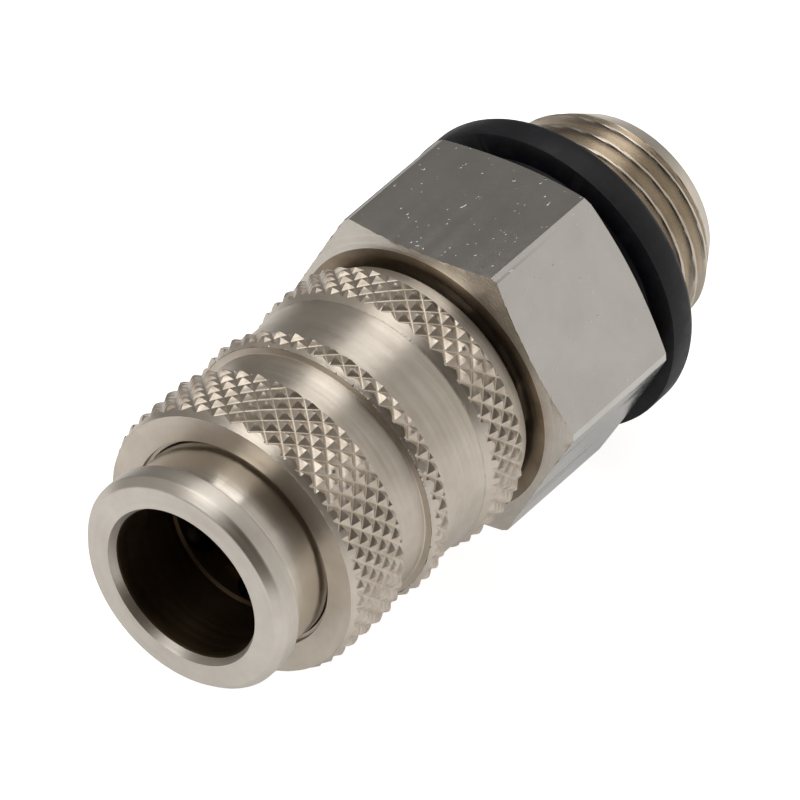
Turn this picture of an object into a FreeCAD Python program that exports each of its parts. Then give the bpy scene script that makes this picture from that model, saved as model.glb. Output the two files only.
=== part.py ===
import FreeCAD, Part
import math
import os

import Sketcher
from FreeCAD import Placement, Rotation, Vector

# Pneumatic quick coupling, uncoupled: the release sleeve stands back and the valve is closed.
# Millimetres. The axis is Y, the plug bore opens towards -Y, the male thread points to +Y and a
# flat of the hexagon looks up. The origin is the centre of the plug bore's mouth.

# Driving sizes. Lengths called place, front, end or depth are measured along the axis from the nose.
SIZES = {
    # Barrel
    "bore_radius": 5.4,
    "collar_step": 0.2,
    "collar_bore_end": 6.3,
    "mouth_chamfer": 0.35,
    "mouth_depth": 0.65,
    "flange_height": 0.6,
    "flange_chamfer_depth": 0.5,
    "flange_chamfer": 0.6,
    "flange_width": 1.95,
    "barrel_wall": 2.05,
    "barrel_length": 33.0,
    "chamber_wall": 0.7,
    "seat_place": 16.0,
    "seat_width": 0.6,
    # Lock balls and their holes
    "ball_count": 6,
    "ball_radius": 1.5,
    "ball_place": 8.2,
    "ball_clearance": 0.05,
    "cam_clearance": 0.03,
    "ball_seat_slope": 0.36,
    # Plug seal in its groove
    "plug_seal_place": 11.7,
    "plug_seal_section": 1.2,
    "plug_seal_groove_width": 1.6,
    "seal_clearance": 0.04,
    # Valve
    "skirt_clearance": 0.1,
    "skirt_wall": 0.7,
    "skirt_lead": 0.1,
    "window_width": 3.0,
    "window_length": 2.2,
    "window_place": 14.7,
    "skirt_floor_place": 15.95,
    "valve_neck_depth": 0.4,
    "valve_seal_section": 1.0,
    "head_gap": 0.75,
    "head_thickness": 1.5,
    "spring_boss_clearance": 0.25,
    "spring_boss_length": 1.7,
    "stem_radius": 0.95,
    "stem_clearance": 0.05,
    # Valve spring and the disc that carries it
    "valve_spring_inset": 1.5,
    "valve_spring_wire": 0.7,
    "valve_spring_turns": 6,
    "guide_thickness": 2.0,
    "guide_clearance": 0.04,
    "guide_hole_count": 6,
    "guide_hole_margin": 0.2,
    "guide_hole_web": 0.75,
    # Seal between barrel and adapter
    "body_seal_thickness": 1.0,
    "body_seal_width": 1.55,
    # Adapter
    "hex_gap": 0.75,
    "hex_length": 11.55,
    "hex_across_flats": 21.0,
    "hex_corner_height": 1.47,
    "hex_front_face_step": 0.5,
    "hex_front_slope": 0.268,
    "hex_back_face_step": 0.3,
    "hex_back_slope": 0.364,
    "socket_clearance": 0.02,
    "adapter_wall": 3.13,
    "thread_radius": 8.33,
    "thread_length": 7.9,
    "thread_chamfer_depth": 1.47,
    "thread_chamfer_length": 2.5,
    "undercut_depth": 0.33,
    # Seal washer
    "washer_clearance": 0.04,
    "washer_lip_clearance": 0.1,
    "washer_hub_width": 1.46,
    "washer_hub_length": 1.15,
    "washer_width": 3.31,
    "washer_thickness": 2.45,
    "washer_round": 0.5,
    # Sleeve
    "sleeve_travel": 3.2,
    "sleeve_front": 5.35,
    "sleeve_length": 19.95,
    "sleeve_mouth_step": 0.24,
    "sleeve_mouth_depth": 0.5,
    "sliding_clearance": 0.06,
    "groove_margin": 0.1,
    "sleeve_shoulder_place": 14.6,
    "sleeve_face_step": 0.5,
    "sleeve_wall": 2.64,
    "sleeve_chamfer": 0.4,
    "knurl_1_end": 10.55,
    "band_1_depth": 1.18,
    "knurl_2_start": 13.9,
    "knurl_2_end": 15.35,
    "band_2_depth": 0.65,
    "knurl_3_start": 19.95,
    "knurl_3_end": 23.4,
    "knurl_end_chamfer": 0.2,
    "sleeve_back_step": 1.15,
    # Sleeve spring
    "sleeve_spring_wire": 0.7,
    "sleeve_spring_turns": 5,
    "spring_clearance": 0.15,
    # Both springs are coiled in short straight runs
    "spring_runs_per_turn": 18,
}

document = FreeCAD.newDocument("quick_coupling")
sheet = document.addObject("Spreadsheet::Sheet", "Sizes")
for row, (size_name, size_value) in enumerate(SIZES.items(), start=1):
    sheet.set("A%d" % row, size_name)
    sheet.set("B%d" % row, str(size_value))
    sheet.setAlias("B%d" % row, size_name)
document.recompute()

# Sizes that follow from the driving ones
COLLAR_RADIUS = "(Sizes.bore_radius + Sizes.collar_step)"
TUBE_RADIUS = "(Sizes.bore_radius + Sizes.barrel_wall)"
FLANGE_RADIUS = "(%s + Sizes.flange_height)" % TUBE_RADIUS
NOSE_FACE_RADIUS = "(%s - Sizes.flange_chamfer_depth)" % FLANGE_RADIUS
CHAMBER_RADIUS = "(%s - Sizes.chamber_wall)" % TUBE_RADIUS
SKIRT_RADIUS = "(Sizes.bore_radius - Sizes.skirt_clearance)"
SKIRT_BORE_RADIUS = "(%s - Sizes.skirt_wall)" % SKIRT_RADIUS
VALVE_NECK_RADIUS = "(%s - Sizes.valve_neck_depth)" % SKIRT_RADIUS
HEAD_RADIUS = "(%s - Sizes.head_gap)" % CHAMBER_RADIUS
VALVE_SPRING_RADIUS = "(%s - Sizes.valve_spring_inset)" % HEAD_RADIUS
VALVE_SPRING_BORE = "(%s - Sizes.valve_spring_wire / 2)" % VALVE_SPRING_RADIUS
SPRING_BOSS_RADIUS = "(%s - Sizes.spring_boss_clearance)" % VALVE_SPRING_BORE
# The guide's holes lie between the spring and the web round the stem
GUIDE_HOLES_OUT = "(%s - Sizes.guide_hole_margin)" % VALVE_SPRING_BORE
GUIDE_HOLES_IN = "(Sizes.stem_radius + Sizes.stem_clearance + Sizes.guide_hole_web)"
BODY_SEAL_BORE = "(%s - Sizes.body_seal_width)" % TUBE_RADIUS
PASSAGE_RADIUS = "(Sizes.thread_radius - Sizes.adapter_wall)"
LAND_RADIUS = "(%s + Sizes.sliding_clearance)" % TUBE_RADIUS
KNURL_RADIUS = "(%s + Sizes.sleeve_wall)" % LAND_RADIUS
SLEEVE_FACE_RADIUS = "(%s - Sizes.sleeve_face_step)" % KNURL_RADIUS
SLEEVE_BACK_RADIUS = "(%s - Sizes.sleeve_back_step)" % KNURL_RADIUS
SLEEVE_MOUTH_RADIUS = "(%s + Sizes.sleeve_mouth_step)" % LAND_RADIUS
BAND_1_RADIUS = "(%s - Sizes.band_1_depth)" % KNURL_RADIUS
BAND_2_RADIUS = "(%s - Sizes.band_2_depth)" % KNURL_RADIUS
BALL_OUT = "(%s + Sizes.ball_clearance + Sizes.ball_radius)" % SKIRT_RADIUS
BALL_IN = "(%s - Sizes.cam_clearance - Sizes.ball_radius)" % LAND_RADIUS
CAM_SLOPE = "((%s - %s) / Sizes.sleeve_travel)" % (BALL_OUT, BALL_IN)
CAM_OFFSET = "(Sizes.ball_radius + Sizes.cam_clearance)"
CAM_HEIGHT = "(%s + %s * sqrt(1 + %s ^ 2))" % (BALL_OUT, CAM_OFFSET, CAM_SLOPE)
GROOVE_RADIUS = "(%s + %s)" % (BALL_OUT, CAM_OFFSET)
SKIRT_FRONT = "(Sizes.ball_place + Sizes.skirt_lead)"
VALVE_SEAL_RADIUS = "(%s + Sizes.valve_seal_section / 2)" % VALVE_NECK_RADIUS
# The valve seal lies against the 45 degree seat cone, which starts at the bore
VALVE_SEAL_PLACE = (
    "(Sizes.seat_place + (Sizes.valve_seal_section / 2 + Sizes.seal_clearance / 2) * sqrt(2)"
    " + %s - Sizes.bore_radius)" % VALVE_SEAL_RADIUS
)
NECK_FRONT = "(%s - Sizes.valve_seal_section / 2 - Sizes.seal_clearance)" % VALVE_SEAL_PLACE
HEAD_FRONT = "(%s + Sizes.valve_seal_section / 2 + Sizes.seal_clearance)" % VALVE_SEAL_PLACE
HEAD_BACK = "(%s + Sizes.head_thickness)" % HEAD_FRONT
GUIDE_FRONT = "(Sizes.barrel_length - Sizes.guide_thickness)"
SOCKET_END = "(Sizes.barrel_length + Sizes.body_seal_thickness)"
SLEEVE_BACK = "(Sizes.sleeve_front + Sizes.sleeve_length)"
HEX_FRONT = "(%s + Sizes.hex_gap)" % SLEEVE_BACK
HEX_BACK = "(%s + Sizes.hex_length)" % HEX_FRONT
WASHER_FRONT = "(%s + Sizes.washer_hub_length)" % HEX_BACK
WASHER_BACK = "(%s + Sizes.washer_thickness)" % WASHER_FRONT
THREAD_END = "(%s + Sizes.thread_length)" % WASHER_BACK
HALF_FLATS = "(Sizes.hex_across_flats / 2)"
HEX_CORNER = "(%s + Sizes.hex_corner_height)" % HALF_FLATS
HEX_FRONT_FACE = "(%s - Sizes.hex_front_face_step)" % HALF_FLATS
HEX_BACK_FACE = "(%s - Sizes.hex_back_face_step)" % HALF_FLATS
UNDERCUT_RADIUS = "(Sizes.thread_radius - Sizes.undercut_depth)"
WASHER_BORE = "(%s + Sizes.washer_clearance)" % UNDERCUT_RADIUS
WASHER_RADIUS = "(%s + Sizes.washer_width)" % WASHER_BORE
SLEEVE_SPRING_RADIUS = "(%s + Sizes.sleeve_spring_wire / 2 + Sizes.spring_clearance)" % TUBE_RADIUS
SPRING_BORE = "(%s + Sizes.sleeve_spring_wire / 2 + Sizes.spring_clearance)" % SLEEVE_SPRING_RADIUS

ALONG_AXIS = Rotation(Vector(1, 0, 0), -90)


def value(expression):
    """Number that an expression of sheet sizes gives."""
    return float(sheet.evalExpression(expression))


def named(feature, label):
    """Gives a feature its own label, which is also the name of its node."""
    feature.Label = label
    return feature


def sketch_on(body, name, plane):
    """Empty sketch on one of the origin planes of its own body."""
    sketch = body.newObject("Sketcher::SketchObject", name)
    origin_plane = [item for item in body.Origin.OriginFeatures if item.Role == plane][0]
    sketch.AttachmentSupport = (origin_plane, "")
    sketch.MapMode = "FlatFace"
    return sketch


def place_point(sketch, line, across, along):
    """Holds the start of a line at its two distances from the sketch's origin."""
    for kind, expression in (("DistanceX", across), ("DistanceY", along)):
        size = value(expression)
        if size == 0:
            axis = -2 if kind == "DistanceX" else -1
            sketch.addConstraint(Sketcher.Constraint("PointOnObject", line, 1, axis))
            continue
        if size > 0:
            index = sketch.addConstraint(Sketcher.Constraint(kind, -1, 1, line, 1, size))
            sketch.setExpression("Constraints[%d]" % index, expression)
        else:
            index = sketch.addConstraint(Sketcher.Constraint(kind, line, 1, -1, 1, -size))
            sketch.setExpression("Constraints[%d]" % index, "-(%s)" % expression)


def add_outline(sketch, points):
    """Closed outline of straight lines, each corner held by two expressions."""
    first = sketch.GeometryCount
    places = [Vector(value(across), value(along), 0) for across, along in points]
    count = len(points)
    for index in range(count):
        sketch.addGeometry(Part.LineSegment(places[index], places[(index + 1) % count]), False)
    for index in range(count):
        following = first + (index + 1) % count
        sketch.addConstraint(Sketcher.Constraint("Coincident", first + index, 2, following, 1))
    for index, (across, along) in enumerate(points):
        place_point(sketch, first + index, across, along)


def turned_body(label, points):
    """Body of revolution about the axis, from corners given as radius and place."""
    body = named(document.addObject("PartDesign::Body", label + "_body"), label)
    sketch = sketch_on(body, label + "_profile", "XY_Plane")
    add_outline(sketch, points)
    turned = body.newObject("PartDesign::Revolution", label + "_turned")
    turned.Profile = sketch
    turned.ReferenceAxis = (sketch, ["V_Axis"])
    turned.Angle = 360
    sketch.Visibility = False
    document.recompute()
    return body


def repeat_about_axis(body, feature, count, angle):
    """Repeats a feature round the body's own Y axis."""
    pattern = body.newObject("PartDesign::PolarPattern", feature.Name + "_pattern")
    pattern.Originals = [feature]
    axis = [item for item in body.Origin.OriginFeatures if item.Role == "Y_Axis"][0]
    pattern.Axis = (axis, [""])
    pattern.Angle = angle
    pattern.setExpression("Occurrences", count)
    body.Tip = pattern
    return pattern


def make_barrel():
    """Nose tube: flange, stepped plug bore, seal groove, valve seat, chamber and ball holes."""
    groove_radius = "Sizes.bore_radius - Sizes.skirt_clearance + Sizes.seal_clearance * 2" \
                    " + Sizes.plug_seal_section"
    groove_front = "Sizes.plug_seal_place - Sizes.plug_seal_groove_width / 2"
    groove_back = "Sizes.plug_seal_place + Sizes.plug_seal_groove_width / 2"
    body = turned_body("barrel", [
        (COLLAR_RADIUS + " + Sizes.mouth_chamfer", "0"),
        (NOSE_FACE_RADIUS, "0"),
        (FLANGE_RADIUS, "Sizes.flange_chamfer"),
        (FLANGE_RADIUS, "Sizes.flange_width"),
        (TUBE_RADIUS, "Sizes.flange_width"),
        (TUBE_RADIUS, "Sizes.barrel_length"),
        (CHAMBER_RADIUS, "Sizes.barrel_length"),
        (CHAMBER_RADIUS, "Sizes.seat_place + Sizes.seat_width"),
        ("Sizes.bore_radius + Sizes.seat_width", "Sizes.seat_place + Sizes.seat_width"),
        ("Sizes.bore_radius", "Sizes.seat_place"),
        ("Sizes.bore_radius", groove_back),
        (groove_radius, groove_back),
        (groove_radius, groove_front),
        ("Sizes.bore_radius", groove_front),
        ("Sizes.bore_radius", "Sizes.collar_bore_end + Sizes.collar_step"),
        (COLLAR_RADIUS, "Sizes.collar_bore_end"),
        (COLLAR_RADIUS, "Sizes.mouth_depth"),
    ])
    # Each hole narrows at the bore, so that a ball can reach in but not fall through
    hole_radius = "(Sizes.ball_radius + Sizes.ball_clearance)"
    cone_at_ball = "((Sizes.ball_radius + Sizes.cam_clearance) * sqrt(1 + Sizes.ball_seat_slope ^ 2))"
    cone_top = "(%s - (%s - %s) / Sizes.ball_seat_slope)" % (BALL_IN, cone_at_ball, hole_radius)
    cone_foot = "sqrt(Sizes.bore_radius ^ 2 - Sizes.ball_radius ^ 2)"
    foot_radius = "(%s - Sizes.ball_seat_slope * (%s - %s))" % (cone_at_ball, BALL_IN, cone_foot)
    hole_end = FLANGE_RADIUS
    sketch = sketch_on(body, "ball_hole_profile", "YZ_Plane")
    sketch.setExpression("AttachmentOffset.Base.x", "Sizes.ball_place")
    add_outline(sketch, [
        ("0", cone_foot),
        (foot_radius, cone_foot),
        (hole_radius, cone_top),
        (hole_radius, hole_end),
        ("0", hole_end),
    ])
    hole = body.newObject("PartDesign::Groove", "ball_hole")
    hole.Profile = sketch
    hole.ReferenceAxis = (sketch, ["V_Axis"])
    hole.Angle = 360
    document.recompute()
    repeat_about_axis(body, hole, "Sizes.ball_count", 360)
    return body


def make_adapter():
    """Hexagon with turned chamfers, socket for the barrel, air passage and thread shank."""
    rise = "Sizes.hex_front_slope * (%s - %s)" % (HEX_CORNER, HEX_FRONT_FACE)
    front_edge = "%s + %s" % (HEX_FRONT, rise)
    back_edge = "%s - Sizes.hex_back_slope * (%s - %s)" % (HEX_BACK, HEX_CORNER, HEX_BACK_FACE)
    socket_radius = TUBE_RADIUS + " + Sizes.socket_clearance"
    body = turned_body("adapter", [
        (socket_radius, HEX_FRONT),
        (HEX_FRONT_FACE, HEX_FRONT),
        (HEX_CORNER, front_edge),
        (HEX_CORNER, back_edge),
        (HEX_BACK_FACE, HEX_BACK),
        (UNDERCUT_RADIUS, HEX_BACK),
        (UNDERCUT_RADIUS, WASHER_BACK),
        ("Sizes.thread_radius", WASHER_BACK),
        ("Sizes.thread_radius", THREAD_END + " - Sizes.thread_chamfer_length"),
        ("Sizes.thread_radius - Sizes.thread_chamfer_depth", THREAD_END),
        (PASSAGE_RADIUS, THREAD_END),
        (PASSAGE_RADIUS, SOCKET_END),
        (socket_radius, SOCKET_END),
    ])
    # The flats are milled by a cut between the hexagon and a circle round it
    sketch = sketch_on(body, "flats_outline", "XZ_Plane")
    flat = HALF_FLATS
    corner = "(Sizes.hex_across_flats / sqrt(3))"
    add_outline(sketch, [
        (corner, "0"),
        (corner + " / 2", flat),
        ("-%s / 2" % corner, flat),
        ("-" + corner, "0"),
        ("-%s / 2" % corner, "-" + flat),
        (corner + " / 2", "-" + flat),
    ])
    stock = "Sizes.hex_across_flats"
    ring = sketch.addGeometry(Part.Circle(Vector(0, 0, 0), Vector(0, 0, 1), value(stock)), False)
    sketch.addConstraint(Sketcher.Constraint("Coincident", ring, 3, -1, 1))
    index = sketch.addConstraint(Sketcher.Constraint("Radius", ring, value(stock)))
    sketch.setExpression("Constraints[%d]" % index, stock)
    flats = body.newObject("PartDesign::Pocket", "flats")
    flats.Profile = sketch
    flats.Type = "ThroughAll"
    flats.Midplane = True
    body.Tip = flats
    document.recompute()
    return body


def make_valve_body():
    """Poppet: ball holding skirt with windows, sealing head, spring boss and guide stem."""
    stem_end = GUIDE_FRONT + " + Sizes.guide_thickness / 2"
    boss_end = HEAD_BACK + " + Sizes.spring_boss_length"
    body = turned_body("valve_body", [
        (SKIRT_BORE_RADIUS, SKIRT_FRONT),
        (SKIRT_RADIUS, SKIRT_FRONT),
        (SKIRT_RADIUS, NECK_FRONT),
        (VALVE_NECK_RADIUS, NECK_FRONT),
        (VALVE_NECK_RADIUS, HEAD_FRONT),
        (HEAD_RADIUS, HEAD_FRONT),
        (HEAD_RADIUS, HEAD_BACK),
        (SPRING_BOSS_RADIUS, HEAD_BACK),
        (SPRING_BOSS_RADIUS, boss_end),
        ("Sizes.stem_radius", boss_end),
        ("Sizes.stem_radius", stem_end),
        ("0", stem_end),
        ("0", "Sizes.skirt_floor_place"),
        (SKIRT_BORE_RADIUS, "Sizes.skirt_floor_place"),
    ])
    sketch = sketch_on(body, "window_outline", "XY_Plane")
    half_width = "Sizes.window_width / 2"
    front = "Sizes.window_place - Sizes.window_length / 2"
    back = "Sizes.window_place + Sizes.window_length / 2"
    add_outline(sketch, [
        ("-" + half_width, front),
        (half_width, front),
        (half_width, back),
        ("-" + half_width, back),
    ])
    window = body.newObject("PartDesign::Pocket", "window")
    window.Profile = sketch
    window.Type = "ThroughAll"
    window.Midplane = True
    document.recompute()
    repeat_about_axis(body, window, "2", 90)
    return body


def make_valve_guide():
    """Disc that carries the valve spring, with a hole for the stem and air holes round it."""
    stem_hole = "Sizes.stem_radius + Sizes.stem_clearance"
    rim = CHAMBER_RADIUS + " - Sizes.guide_clearance"
    body = turned_body("valve_guide", [
        (stem_hole, GUIDE_FRONT),
        (rim, GUIDE_FRONT),
        (rim, "Sizes.barrel_length"),
        (stem_hole, "Sizes.barrel_length"),
    ])
    sketch = sketch_on(body, "air_hole_outline", "XZ_Plane")
    hole_circle = "(%s + %s) / 2" % (GUIDE_HOLES_OUT, GUIDE_HOLES_IN)
    hole_size = "(%s - %s) / 2" % (GUIDE_HOLES_OUT, GUIDE_HOLES_IN)
    centre = Vector(0, value(hole_circle), 0)
    ring = sketch.addGeometry(Part.Circle(centre, Vector(0, 0, 1), value(hole_size)), False)
    sketch.addConstraint(Sketcher.Constraint("PointOnObject", ring, 3, -2))
    index = sketch.addConstraint(Sketcher.Constraint("DistanceY", -1, 1, ring, 3, value(hole_circle)))
    sketch.setExpression("Constraints[%d]" % index, hole_circle)
    index = sketch.addConstraint(Sketcher.Constraint("Radius", ring, value(hole_size)))
    sketch.setExpression("Constraints[%d]" % index, hole_size)
    hole = body.newObject("PartDesign::Pocket", "air_hole")
    hole.Profile = sketch
    hole.Type = "ThroughAll"
    hole.Midplane = True
    document.recompute()
    repeat_about_axis(body, hole, "Sizes.guide_hole_count", 360)
    return body


def make_sleeve():
    """Release sleeve: stepped outside, and inside the guide land, ball groove, cam and spring room."""
    cam_front = "Sizes.ball_place + (%s - %s) / %s" % (CAM_HEIGHT, GROOVE_RADIUS, CAM_SLOPE)
    cam_back = "Sizes.ball_place + (%s - %s) / %s" % (CAM_HEIGHT, LAND_RADIUS, CAM_SLOPE)
    groove_front = "Sizes.ball_place - Sizes.ball_radius - Sizes.groove_margin"
    mouth_end = "Sizes.sleeve_front + Sizes.sleeve_mouth_depth"
    knurl_edge = KNURL_RADIUS + " - Sizes.knurl_end_chamfer"
    return turned_body("sleeve", [
        (SLEEVE_MOUTH_RADIUS, "Sizes.sleeve_front"),
        (SLEEVE_FACE_RADIUS, "Sizes.sleeve_front"),
        (KNURL_RADIUS, "Sizes.sleeve_front + Sizes.sleeve_chamfer"),
        (KNURL_RADIUS, "Sizes.knurl_1_end - Sizes.knurl_end_chamfer"),
        (knurl_edge, "Sizes.knurl_1_end"),
        (BAND_1_RADIUS, "Sizes.knurl_1_end"),
        (BAND_1_RADIUS, "Sizes.knurl_2_start"),
        (knurl_edge, "Sizes.knurl_2_start"),
        (KNURL_RADIUS, "Sizes.knurl_2_start + Sizes.knurl_end_chamfer"),
        (KNURL_RADIUS, "Sizes.knurl_2_end - Sizes.knurl_end_chamfer"),
        (knurl_edge, "Sizes.knurl_2_end"),
        (BAND_2_RADIUS, "Sizes.knurl_2_end"),
        (BAND_2_RADIUS, "Sizes.knurl_3_start"),
        (knurl_edge, "Sizes.knurl_3_start"),
        (KNURL_RADIUS, "Sizes.knurl_3_start + Sizes.knurl_end_chamfer"),
        (KNURL_RADIUS, "Sizes.knurl_3_end"),
        (SLEEVE_BACK_RADIUS, SLEEVE_BACK),
        (SPRING_BORE, SLEEVE_BACK),
        (SPRING_BORE, "Sizes.sleeve_shoulder_place"),
        (LAND_RADIUS, "Sizes.sleeve_shoulder_place"),
        (LAND_RADIUS, cam_back),
        (GROOVE_RADIUS, cam_front),
        (GROOVE_RADIUS, groove_front),
        (LAND_RADIUS, groove_front),
        (LAND_RADIUS, mouth_end),
        (SLEEVE_MOUTH_RADIUS, mouth_end),
    ])


def make_thread_washer():
    """Seal washer: hub against the hexagon, wide disc with a rounded back edge, lip behind the thread."""
    hub = WASHER_BORE + " + Sizes.washer_hub_width"
    mouth = "Sizes.thread_radius + Sizes.washer_lip_clearance"
    lip_back = "%s - (%s - %s)" % (WASHER_BACK, mouth, WASHER_BORE)
    body = turned_body("thread_washer", [
        (WASHER_BORE, HEX_BACK),
        (hub, HEX_BACK),
        (hub, WASHER_FRONT),
        (WASHER_RADIUS, WASHER_FRONT),
        (WASHER_RADIUS, WASHER_BACK),
        (mouth, WASHER_BACK),
        (WASHER_BORE, lip_back),
    ])
    disc = body.Tip
    edges = []
    for index, edge in enumerate(disc.Shape.Edges, start=1):
        curve = edge.Curve
        if not isinstance(curve, Part.Circle):
            continue
        at_back = math.isclose(curve.Center.y, value(WASHER_BACK), abs_tol=1e-6)
        if at_back and math.isclose(curve.Radius, value(WASHER_RADIUS), abs_tol=1e-6):
            edges.append("Edge%d" % index)
    rounding = body.newObject("PartDesign::Fillet", "washer_rounding")
    rounding.Base = (disc, edges)
    rounding.setExpression("Radius", "Sizes.washer_round")
    body.Tip = rounding
    return body


def make_body_seal():
    """Flat ring between the end of the barrel and the floor of the socket."""
    return turned_body("body_seal", [
        (BODY_SEAL_BORE, "Sizes.barrel_length"),
        (TUBE_RADIUS, "Sizes.barrel_length"),
        (TUBE_RADIUS, SOCKET_END),
        (BODY_SEAL_BORE, SOCKET_END),
    ])


def make_ring(label, radius, section, place):
    """Ring of round section about the axis."""
    ring = named(document.addObject("Part::Torus", label + "_ring"), label)
    ring.Placement = Placement(Vector(0, value(place), 0), ALONG_AXIS)
    ring.setExpression("Radius1", radius)
    ring.setExpression("Radius2", section + " / 2")
    ring.setExpression("Placement.Base.y", place)
    return ring


def make_lock_balls():
    """Balls round the barrel, at rest on the skirt of the valve."""
    count = int(value("Sizes.ball_count"))
    balls = []
    for number in range(1, count + 1):
        label = "lock_ball_%d" % number
        ball = named(document.addObject("Part::Sphere", label + "_sphere"), label)
        ball.setExpression("Radius", "Sizes.ball_radius")
        turn = "%d * 360 / Sizes.ball_count" % (number - 1)
        ball.setExpression("Placement.Base.x", "%s * sin(%s)" % (BALL_OUT, turn))
        ball.setExpression("Placement.Base.y", "Sizes.ball_place")
        ball.setExpression("Placement.Base.z", "%s * cos(%s)" % (BALL_OUT, turn))
        balls.append(ball)
    return balls


def make_spring(label, radius, wire, turns, front, back):
    """Coil spring of round wire between two places on the axis, coiled in short straight runs."""
    start = value("%s + %s / 2" % (front, wire))
    height = value("%s - %s - %s" % (back, front, wire))
    runs_per_turn = int(value("Sizes.spring_runs_per_turn"))
    runs = int(value(turns)) * runs_per_turn
    step = 2 * math.pi / runs_per_turn
    # The corners lie as far outside the coil's radius as the middles of the runs lie inside it
    corner_radius = 2 * value(radius) / (1 + math.cos(step / 2))
    corners = []
    for index in range(runs + 1):
        across = corner_radius * math.cos(step * index)
        up = -corner_radius * math.sin(step * index)
        corners.append(Vector(across, start + height * index / runs, up))
    path = document.addObject("Part::Polygon", label + "_path")
    path.Nodes = corners
    section = document.addObject("Part::Circle", label + "_section")
    section.Placement = Placement(corners[0], Rotation(Vector(0, 0, 1), corners[1] - corners[0]))
    section.setExpression("Radius", wire + " / 2")
    document.recompute()
    spring = named(document.addObject("Part::Sweep", label + "_sweep"), label)
    spring.Sections = [section]
    spring.Spine = (path, [])
    spring.Solid = True
    spring.Frenet = False
    spring.Transition = "Right corner"
    return spring


plug_seal_radius = "(%s + Sizes.seal_clearance + Sizes.plug_seal_section / 2)" % SKIRT_RADIUS
nodes = [
    make_barrel(),
    make_adapter(),
    make_sleeve(),
    make_valve_body(),
    make_valve_guide(),
    make_body_seal(),
    make_thread_washer(),
    make_ring("plug_seal", plug_seal_radius, "Sizes.plug_seal_section", "Sizes.plug_seal_place"),
    make_ring("valve_seal", VALVE_SEAL_RADIUS, "Sizes.valve_seal_section", VALVE_SEAL_PLACE),
    make_spring("sleeve_spring", SLEEVE_SPRING_RADIUS, "Sizes.sleeve_spring_wire",
                "Sizes.sleeve_spring_turns", "Sizes.sleeve_shoulder_place", HEX_FRONT),
    make_spring("valve_spring", VALVE_SPRING_RADIUS, "Sizes.valve_spring_wire",
                "Sizes.valve_spring_turns", HEAD_BACK, GUIDE_FRONT),
]
nodes += make_lock_balls()
document.recompute()

for feature in document.Objects:
    if "Invalid" in feature.State or "Error" in feature.State:
        raise RuntimeError("failed feature: " + feature.Name)
for node in nodes:
    if node.Shape.isNull() or not node.Shape.isValid():
        raise RuntimeError("bad shape: " + node.Label)

os.makedirs("parts", exist_ok=True)
for node in nodes:
    node.Shape.exportStep("parts/%s.step" % node.Label)
    print("%-16s volume %9.3f  solids %d" % (node.Label, node.Shape.Volume, len(node.Shape.Solids)))
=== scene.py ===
import math

import bmesh
import bpy
import numpy as np
from mathutils import Matrix, Vector, noise


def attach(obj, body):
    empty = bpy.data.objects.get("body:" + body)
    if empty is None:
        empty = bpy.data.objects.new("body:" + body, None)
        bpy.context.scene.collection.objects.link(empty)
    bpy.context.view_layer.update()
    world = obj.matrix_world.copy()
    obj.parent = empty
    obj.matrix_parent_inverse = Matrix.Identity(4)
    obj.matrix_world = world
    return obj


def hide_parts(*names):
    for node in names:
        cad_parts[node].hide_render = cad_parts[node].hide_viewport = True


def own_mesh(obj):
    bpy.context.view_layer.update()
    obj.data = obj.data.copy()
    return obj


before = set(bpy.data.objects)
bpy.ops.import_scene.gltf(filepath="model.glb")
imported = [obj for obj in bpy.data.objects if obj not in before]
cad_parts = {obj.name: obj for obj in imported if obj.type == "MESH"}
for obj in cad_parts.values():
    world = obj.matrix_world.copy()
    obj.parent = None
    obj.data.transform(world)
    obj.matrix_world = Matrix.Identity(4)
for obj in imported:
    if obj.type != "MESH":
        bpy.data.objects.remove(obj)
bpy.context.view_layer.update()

# Lengths are in millimetres from the nose along the axis, as in the part's own drawing, and MM
# turns them into metres. Angles round the axis run from +X towards +Z.
MM = 0.001

# Barrel
BARREL_STEPS = 288
BORE = 5.4
COLLAR_BORE = 5.6
COLLAR_BORE_END = 6.3
MOUTH = 5.95
MOUTH_DEPTH = 0.65
NOSE_FACE = 7.55
FLANGE = 8.05
FLANGE_FRONT = 0.6
FLANGE_BACK = 1.95
TUBE = 7.45
BARREL_END = 33.0
CHAMBER = 6.75
SEAT = 16.0
SEAT_WIDTH = 0.6
SEAL_GROOVE = 6.58
SEAL_GROOVE_FRONT = 10.9
SEAL_GROOVE_BACK = 12.5
BALL_PLACE = 8.2
BALL_HOLE = 1.55
BALL_COUNT = 6
DRILL_START = 3.5
DRILL_END = FLANGE + 1
DRILL_STEPS = 48

# Sleeve
SLEEVE_STEPS = 450
MOUTH_RING = 7.75
MOUTH_RING_DEPTH = 0.5
SLEEVE_FRONT = 5.35
SLEEVE_FACE = 9.65
KNURL_TIP = 10.15
KNURL_ROOT = 9.8
BAND_1 = 8.97
BAND_2 = 9.5
KNURL_1_END = 10.76
KNURL_2_START = 14.12
KNURL_2_END = 15.58
KNURL_3_START = 20.1
KNURL_3_END = 23.75
SLEEVE_BACK = 25.3
SLEEVE_BACK_RADIUS = 9.0
LAND = 7.51
BALL_GROOVE = 8.38
BALL_GROOVE_FRONT = 6.6
CAM_FRONT = 8.404
CAM_BACK = 11.604
SPRING_ROOM = 8.45
SHOULDER = 14.6

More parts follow.
